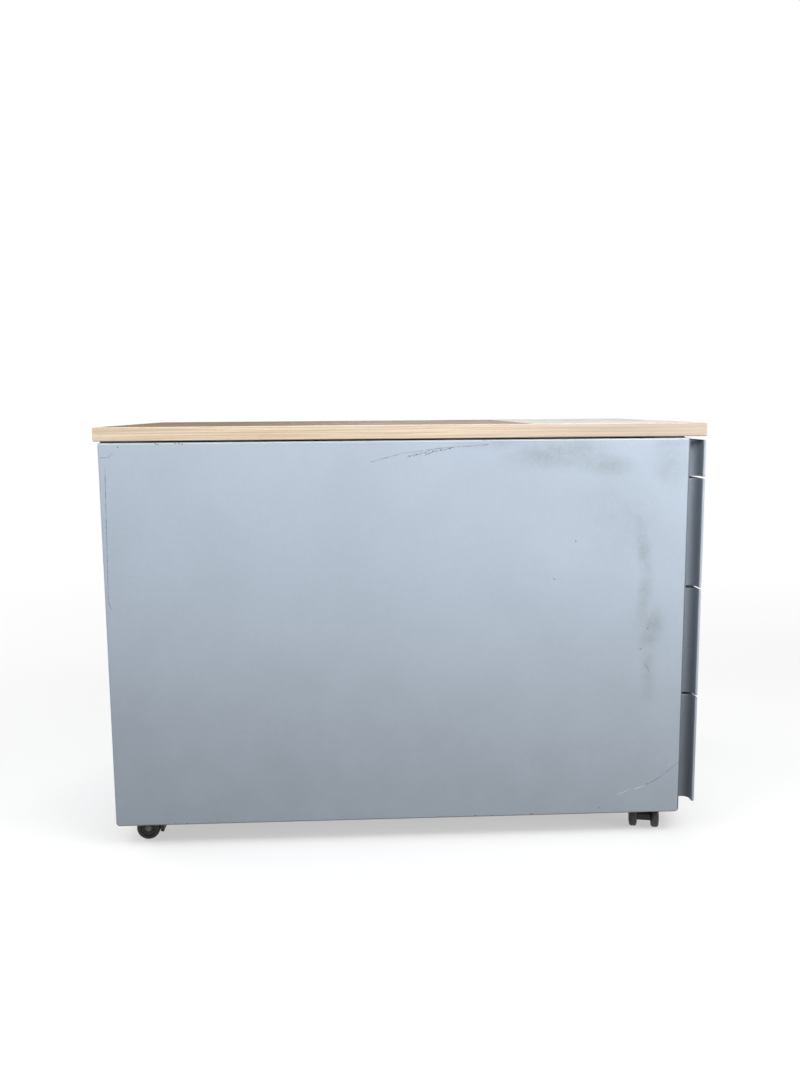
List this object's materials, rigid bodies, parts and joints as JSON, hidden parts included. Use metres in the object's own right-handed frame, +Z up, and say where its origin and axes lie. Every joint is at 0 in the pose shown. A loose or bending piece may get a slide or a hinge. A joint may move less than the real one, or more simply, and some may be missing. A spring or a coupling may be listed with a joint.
{
  "type": "mobile drawer pedestal",
  "caption": "Mobile sheet-steel drawer pedestal on twin-wheel castors: decor top board, a shallow pencil drawer over deep drawers on telescopic rails, side finger coves and a central lock.",
  "frame": {"origin": "on the floor, midway under the top board", "axes": "+Z up, the drawer fronts face -Y, the case is longest along Y"},
  "size_m": [0.43, 0.8, 0.5706],
  "materials": {
    "case_paint": "fine textured silver-grey powder coat, satin",
    "front_paint": "fine textured silver-grey powder coat, satin",
    "frame_paint": "satin grey powder coat",
    "board_decor": "pale ash decor laminate, matt",
    "edge_band": "pale ash decor edge band, matt",
    "zinc_steel": "bright zinc plate",
    "black_steel": "blackened steel",
    "screw_steel": "zinc-plated",
    "box_paint": "smooth grey powder coat, satin",
    "lock_nickel": "nickel plate",
    "black_casting": "die-cast metal, satin black paint",
    "black_plastic": "moulded, fine grain",
    "wheel_plastic": "moulded, hard treads"
  },
  "bodies": {
    "case": {"side_panel_left": "case_paint", "side_panel_right": "case_paint", "back_panel": "case_paint", "base_pan": "frame_paint", "top_rail_front": "frame_paint", "top_rail_rear": "frame_paint", "uprights_left": "frame_paint", "uprights_right": "frame_paint", "top_board": "board_decor", "edge_bands": "edge_band", "top_screws": "screw_steel", "pencil_case_rails": "zinc_steel", "upper_case_rails": "zinc_steel", "middle_case_rails": "zinc_steel", "lower_case_rails": "zinc_steel", "lock_bar_guides": "black_plastic", "castor_plates": "zinc_steel", "castor_screws": "screw_steel"},
    "pencil_drawer": {"pencil_front": "front_paint", "pencil_box": "box_paint", "pencil_box_rails": "zinc_steel", "pencil_front_screws": "screw_steel", "pencil_box_walls": "box_paint", "pencil_tray": "black_plastic", "lock_housing": "lock_nickel"},
    "upper_drawer": {"upper_front": "front_paint", "upper_box": "box_paint", "upper_box_rails": "zinc_steel", "upper_front_screws": "screw_steel"},
    "middle_drawer": {"middle_front": "front_paint", "middle_box": "box_paint", "middle_box_rails": "zinc_steel", "middle_front_screws": "screw_steel"},
    "lower_drawer": {"lower_front": "front_paint", "lower_box": "box_paint", "lower_box_rails": "zinc_steel", "lower_front_screws": "screw_steel"},
    "pencil_mid": {"pencil_mid_rails": "zinc_steel"},
    "upper_mid": {"upper_mid_rails": "zinc_steel"},
    "middle_mid": {"middle_mid_rails": "zinc_steel"},
    "lower_mid": {"lower_mid_rails": "zinc_steel"},
    "lock_barrel": {"lock_barrel": "lock_nickel", "lock_cam": "zinc_steel"},
    "lock_bar": {"lock_bar": "zinc_steel"},
    "front_left_castor": {"front_left_castor": "black_casting", "front_left_axle": "black_steel"},
    "front_left_wheel_1": {"front_left_wheel_1": "wheel_plastic"},
    "front_left_wheel_2": {"front_left_wheel_2": "wheel_plastic"},
    "front_right_castor": {"front_right_castor": "black_casting", "front_right_axle": "black_steel"},
    "front_right_wheel_1": {"front_right_wheel_1": "wheel_plastic"},
    "front_right_wheel_2": {"front_right_wheel_2": "wheel_plastic"},
    "rear_left_castor": {"rear_left_castor": "black_casting", "rear_left_axle": "black_steel"},
    "rear_left_wheel_1": {"rear_left_wheel_1": "wheel_plastic"},
    "rear_left_wheel_2": {"rear_left_wheel_2": "wheel_plastic"},
    "rear_right_castor": {"rear_right_castor": "black_casting", "rear_right_axle": "black_steel"},
    "rear_right_wheel_1": {"rear_right_wheel_1": "wheel_plastic"},
    "rear_right_wheel_2": {"rear_right_wheel_2": "wheel_plastic"}
  },
  "joints": [
    {"name": "pencil_drawer_slide", "type": "slide", "parent": "case", "child": "pencil_drawer", "axis": [0, -1, 0], "range_m": [0, 0.68]},
    {"name": "upper_drawer_slide", "type": "slide", "parent": "case", "child": "upper_drawer", "axis": [0, -1, 0], "range_m": [0, 0.68]},
    {"name": "middle_drawer_slide", "type": "slide", "parent": "case", "child": "middle_drawer", "axis": [0, -1, 0], "range_m": [0, 0.68]},
    {"name": "lower_drawer_slide", "type": "slide", "parent": "case", "child": "lower_drawer", "axis": [0, -1, 0], "range_m": [0, 0.68]},
    {"name": "pencil_mid_slide", "type": "slide", "parent": "case", "child": "pencil_mid", "axis": [0, -1, 0], "range_m": [0, 0.34]},
    {"name": "upper_mid_slide", "type": "slide", "parent": "case", "child": "upper_mid", "axis": [0, -1, 0], "range_m": [0, 0.34]},
    {"name": "middle_mid_slide", "type": "slide", "parent": "case", "child": "middle_mid", "axis": [0, -1, 0], "range_m": [0, 0.34]},
    {"name": "lower_mid_slide", "type": "slide", "parent": "case", "child": "lower_mid", "axis": [0, -1, 0], "range_m": [0, 0.34]},
    {"name": "lock_turn", "type": "hinge", "parent": "pencil_drawer", "child": "lock_barrel", "pos_m": [0.185, -0.39, 0.5325], "axis": [0, -1, 0], "range_deg": [0, 90]},
    {"name": "lock_bar_lift", "type": "slide", "parent": "case", "child": "lock_bar", "axis": [0, 0, 1], "range_m": [0, 0.00707]},
    {"name": "front_left_swivel", "type": "hinge", "parent": "case", "child": "front_left_castor", "pos_m": [-0.1665, -0.3424, 0.04], "axis": [0, 0, 1], "continuous": true},
    {"name": "front_left_wheel_1_spin", "type": "hinge", "parent": "front_left_castor", "child": "front_left_wheel_1", "pos_m": [-0.18099, -0.32399, 0.016], "axis": [-0.2079, -0.9781, 0], "continuous": true},
    {"name": "front_left_wheel_2_spin", "type": "hinge", "parent": "front_left_castor", "child": "front_left_wheel_2", "pos_m": [-0.18723, -0.35333, 0.016], "axis": [-0.2079, -0.9781, 0], "continuous": true},
    {"name": "front_right_swivel", "type": "hinge", "parent": "case", "child": "front_right_castor", "pos_m": [0.1665, -0.3424, 0.04], "axis": [0, 0, 1], "continuous": true},
    {"name": "front_right_wheel_1_spin", "type": "hinge", "parent": "front_right_castor", "child": "front_right_wheel_1", "pos_m": [0.14385, -0.33641, 0.016], "axis": [0.4226, -0.9063, 0], "continuous": true},
    {"name": "front_right_wheel_2_spin", "type": "hinge", "parent": "front_right_castor", "child": "front_right_wheel_2", "pos_m": [0.15653, -0.3636, 0.016], "axis": [0.4226, -0.9063, 0], "continuous": true},
    {"name": "rear_left_swivel", "type": "hinge", "parent": "case", "child": "rear_left_castor", "pos_m": [-0.1665, 0.3403, 0.04], "axis": [0, 0, 1], "continuous": true},
    {"name": "rear_left_wheel_1_spin", "type": "hinge", "parent": "rear_left_castor", "child": "rear_left_wheel_1", "pos_m": [-0.1515, 0.3583, 0.016], "axis": [-1, 0, 0], "continuous": true},
    {"name": "rear_left_wheel_2_spin", "type": "hinge", "parent": "rear_left_castor", "child": "rear_left_wheel_2", "pos_m": [-0.1815, 0.3583, 0.016], "axis": [-1, 0, 0], "continuous": true},
    {"name": "rear_right_swivel", "type": "hinge", "parent": "case", "child": "rear_right_castor", "pos_m": [0.1665, 0.3403, 0.04], "axis": [0, 0, 1], "continuous": true},
    {"name": "rear_right_wheel_1_spin", "type": "hinge", "parent": "rear_right_castor", "child": "rear_right_wheel_1", "pos_m": [0.17129, 0.36324, 0.016], "axis": [-0.8829, -0.4695, 0], "continuous": true},
    {"name": "rear_right_wheel_2_spin", "type": "hinge", "parent": "rear_right_castor", "child": "rear_right_wheel_2", "pos_m": [0.14481, 0.34915, 0.016], "axis": [-0.8829, -0.4695, 0], "continuous": true}
  ],
  "couplings": [
    {"joint": "pencil_mid_slide", "follows": "pencil_drawer_slide", "ratio": 0.5},
    {"joint": "upper_mid_slide", "follows": "upper_drawer_slide", "ratio": 0.5},
    {"joint": "middle_mid_slide", "follows": "middle_drawer_slide", "ratio": 0.5},
    {"joint": "lower_mid_slide", "follows": "lower_drawer_slide", "ratio": 0.5},
    {"joint": "lock_turn", "follows": "lock_bar_lift", "rad_per_m": 222.14}
  ]
}
